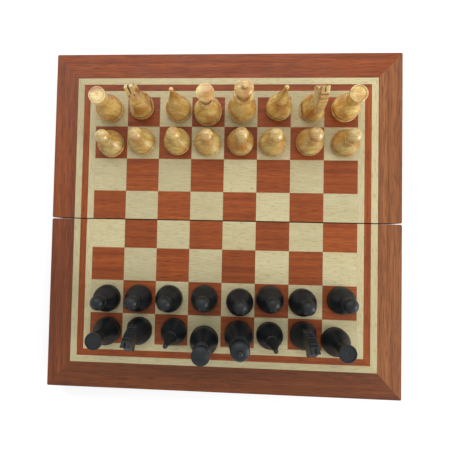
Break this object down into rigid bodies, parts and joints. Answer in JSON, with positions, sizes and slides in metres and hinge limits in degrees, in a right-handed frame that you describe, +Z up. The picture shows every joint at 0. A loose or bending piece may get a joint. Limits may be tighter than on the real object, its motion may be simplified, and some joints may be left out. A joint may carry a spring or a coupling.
{
  "type": "folding chess set",
  "caption": "Folding wooden chess box opened flat as an inlaid board, with turned pale and black men standing in their starting places.",
  "frame": {"origin": "middle of the board, under the fold, at the lowest point of the hinge knuckles", "axes": "+X along the fold to the right as black sits, +Y towards the white men, +Z up out of the playing face"},
  "size_m": [0.35, 0.345, 0.0958],
  "materials": {
    "red_wood_rail": "satin lacquer",
    "red_veneer": "satin lacquer",
    "pale_veneer": "satin lacquer",
    "plywood": "bare",
    "white_men": "gloss lacquer",
    "black_men": "black stain, satin",
    "brass": "plain brass"
  },
  "bodies": {
    "far_half": {"far_outer_rail": "red_wood_rail", "far_left_rail": "red_wood_rail", "far_right_rail": "red_wood_rail", "far_hinge_rail": "red_wood_rail", "far_panel": "plywood", "far_light_squares": "pale_veneer", "far_dark_squares": "red_veneer", "far_pale_strings": "pale_veneer", "far_red_strings": "red_veneer", "far_hinge_leaves": "brass", "far_hinge_screws": "brass", "hinge_pins": "brass", "hook_screws": "brass"},
    "near_half": {"near_outer_rail": "red_wood_rail", "near_left_rail": "red_wood_rail", "near_right_rail": "red_wood_rail", "near_hinge_rail": "red_wood_rail", "near_panel": "plywood", "near_light_squares": "pale_veneer", "near_dark_squares": "red_veneer", "near_pale_strings": "pale_veneer", "near_red_strings": "red_veneer", "near_hinge_leaves": "brass", "near_hinge_screws": "brass", "catch_studs": "brass"},
    "left_hook": {"hook_left": "brass"},
    "right_hook": {"hook_right": "brass"},
    "white_rook_1_body": {"white_rook_1": "white_men"},
    "white_knight_1_body": {"white_knight_1": "white_men"},
    "white_bishop_1_body": {"white_bishop_1": "white_men"},
    "white_queen_body": {"white_queen": "white_men"},
    "white_king_body": {"white_king": "white_men"},
    "white_bishop_2_body": {"white_bishop_2": "white_men"},
    "white_knight_2_body": {"white_knight_2": "white_men"},
    "white_rook_2_body": {"white_rook_2": "white_men"},
    "white_pawn_1_body": {"white_pawn_1": "white_men"},
    "white_pawn_2_body": {"white_pawn_2": "white_men"},
    "white_pawn_3_body": {"white_pawn_3": "white_men"},
    "white_pawn_4_body": {"white_pawn_4": "white_men"},
    "white_pawn_5_body": {"white_pawn_5": "white_men"},
    "white_pawn_6_body": {"white_pawn_6": "white_men"},
    "white_pawn_7_body": {"white_pawn_7": "white_men"},
    "white_pawn_8_body": {"white_pawn_8": "white_men"},
    "black_rook_1_body": {"black_rook_1": "black_men"},
    "black_knight_1_body": {"black_knight_1": "black_men"},
    "black_bishop_1_body": {"black_bishop_1": "black_men"},
    "black_queen_body": {"black_queen": "black_men"},
    "black_king_body": {"black_king": "black_men"},
    "black_bishop_2_body": {"black_bishop_2": "black_men"},
    "black_knight_2_body": {"black_knight_2": "black_men"},
    "black_rook_2_body": {"black_rook_2": "black_men"},
    "black_pawn_1_body": {"black_pawn_1": "black_men"},
    "black_pawn_2_body": {"black_pawn_2": "black_men"},
    "black_pawn_3_body": {"black_pawn_3": "black_men"},
    "black_pawn_4_body": {"black_pawn_4": "black_men"},
    "black_pawn_5_body": {"black_pawn_5": "black_men"},
    "black_pawn_6_body": {"black_pawn_6": "black_men"},
    "black_pawn_7_body": {"black_pawn_7": "black_men"},
    "black_pawn_8_body": {"black_pawn_8": "black_men"}
  },
  "joints": [
    {"name": "fold", "type": "hinge", "parent": "far_half", "child": "near_half", "pos_m": [0, 0, 0.0016], "axis": [1, 0, 0], "range_deg": [0, 180]},
    {"name": "hook_left_swing", "type": "hinge", "parent": "far_half", "child": "left_hook", "pos_m": [-0.095, 0.1708, 0.01375], "axis": [0, 1, 0], "range_deg": [0, 90]},
    {"name": "hook_right_swing", "type": "hinge", "parent": "far_half", "child": "right_hook", "pos_m": [0.095, 0.1708, 0.01375], "axis": [0, -1, 0], "range_deg": [0, 90]},
    {"name": "white_rook_1_lift", "type": "slide", "parent": "far_half", "child": "white_rook_1_body", "axis": [0, 0, 1], "range_m": [0, 0.09]},
    {"name": "white_knight_1_lift", "type": "slide", "parent": "far_half", "child": "white_knight_1_body", "axis": [0, 0, 1], "range_m": [0, 0.09]},
    {"name": "white_bishop_1_lift", "type": "slide", "parent": "far_half", "child": "white_bishop_1_body", "axis": [0, 0, 1], "range_m": [0, 0.09]},
    {"name": "white_queen_lift", "type": "slide", "parent": "far_half", "child": "white_queen_body", "axis": [0, 0, 1], "range_m": [0, 0.09]},
    {"name": "white_king_lift", "type": "slide", "parent": "far_half", "child": "white_king_body", "axis": [0, 0, 1], "range_m": [0, 0.09]},
    {"name": "white_bishop_2_lift", "type": "slide", "parent": "far_half", "child": "white_bishop_2_body", "axis": [0, 0, 1], "range_m": [0, 0.09]},
    {"name": "white_knight_2_lift", "type": "slide", "parent": "far_half", "child": "white_knight_2_body", "axis": [0, 0, 1], "range_m": [0, 0.09]},
    {"name": "white_rook_2_lift", "type": "slide", "parent": "far_half", "child": "white_rook_2_body", "axis": [0, 0, 1], "range_m": [0, 0.09]},
    {"name": "white_pawn_1_lift", "type": "slide", "parent": "far_half", "child": "white_pawn_1_body", "axis": [0, 0, 1], "range_m": [0, 0.09]},
    {"name": "white_pawn_2_lift", "type": "slide", "parent": "far_half", "child": "white_pawn_2_body", "axis": [0, 0, 1], "range_m": [0, 0.09]},
    {"name": "white_pawn_3_lift", "type": "slide", "parent": "far_half", "child": "white_pawn_3_body", "axis": [0, 0, 1], "range_m": [0, 0.09]},
    {"name": "white_pawn_4_lift", "type": "slide", "parent": "far_half", "child": "white_pawn_4_body", "axis": [0, 0, 1], "range_m": [0, 0.09]},
    {"name": "white_pawn_5_lift", "type": "slide", "parent": "far_half", "child": "white_pawn_5_body", "axis": [0, 0, 1], "range_m": [0, 0.09]},
    {"name": "white_pawn_6_lift", "type": "slide", "parent": "far_half", "child": "white_pawn_6_body", "axis": [0, 0, 1], "range_m": [0, 0.09]},
    {"name": "white_pawn_7_lift", "type": "slide", "parent": "far_half", "child": "white_pawn_7_body", "axis": [0, 0, 1], "range_m": [0, 0.09]},
    {"name": "white_pawn_8_lift", "type": "slide", "parent": "far_half", "child": "white_pawn_8_body", "axis": [0, 0, 1], "range_m": [0, 0.09]},
    {"name": "black_rook_1_lift", "type": "slide", "parent": "near_half", "child": "black_rook_1_body", "axis": [0, 0, 1], "range_m": [0, 0.09]},
    {"name": "black_knight_1_lift", "type": "slide", "parent": "near_half", "child": "black_knight_1_body", "axis": [0, 0, 1], "range_m": [0, 0.09]},
    {"name": "black_bishop_1_lift", "type": "slide", "parent": "near_half", "child": "black_bishop_1_body", "axis": [0, 0, 1], "range_m": [0, 0.09]},
    {"name": "black_queen_lift", "type": "slide", "parent": "near_half", "child": "black_queen_body", "axis": [0, 0, 1], "range_m": [0, 0.09]},
    {"name": "black_king_lift", "type": "slide", "parent": "near_half", "child": "black_king_body", "axis": [0, 0, 1], "range_m": [0, 0.09]},
    {"name": "black_bishop_2_lift", "type": "slide", "parent": "near_half", "child": "black_bishop_2_body", "axis": [0, 0, 1], "range_m": [0, 0.09]},
    {"name": "black_knight_2_lift", "type": "slide", "parent": "near_half", "child": "black_knight_2_body", "axis": [0, 0, 1], "range_m": [0, 0.09]},
    {"name": "black_rook_2_lift", "type": "slide", "parent": "near_half", "child": "black_rook_2_body", "axis": [0, 0, 1], "range_m": [0, 0.09]},
    {"name": "black_pawn_1_lift", "type": "slide", "parent": "near_half", "child": "black_pawn_1_body", "axis": [0, 0, 1], "range_m": [0, 0.09]},
    {"name": "black_pawn_2_lift", "type": "slide", "parent": "near_half", "child": "black_pawn_2_body", "axis": [0, 0, 1], "range_m": [0, 0.09]},
    {"name": "black_pawn_3_lift", "type": "slide", "parent": "near_half", "child": "black_pawn_3_body", "axis": [0, 0, 1], "range_m": [0, 0.09]},
    {"name": "black_pawn_4_lift", "type": "slide", "parent": "near_half", "child": "black_pawn_4_body", "axis": [0, 0, 1], "range_m": [0, 0.09]},
    {"name": "black_pawn_5_lift", "type": "slide", "parent": "near_half", "child": "black_pawn_5_body", "axis": [0, 0, 1], "range_m": [0, 0.09]},
    {"name": "black_pawn_6_lift", "type": "slide", "parent": "near_half", "child": "black_pawn_6_body", "axis": [0, 0, 1], "range_m": [0, 0.09]},
    {"name": "black_pawn_7_lift", "type": "slide", "parent": "near_half", "child": "black_pawn_7_body", "axis": [0, 0, 1], "range_m": [0, 0.09]},
    {"name": "black_pawn_8_lift", "type": "slide", "parent": "near_half", "child": "black_pawn_8_body", "axis": [0, 0, 1], "range_m": [0, 0.09]}
  ]
}
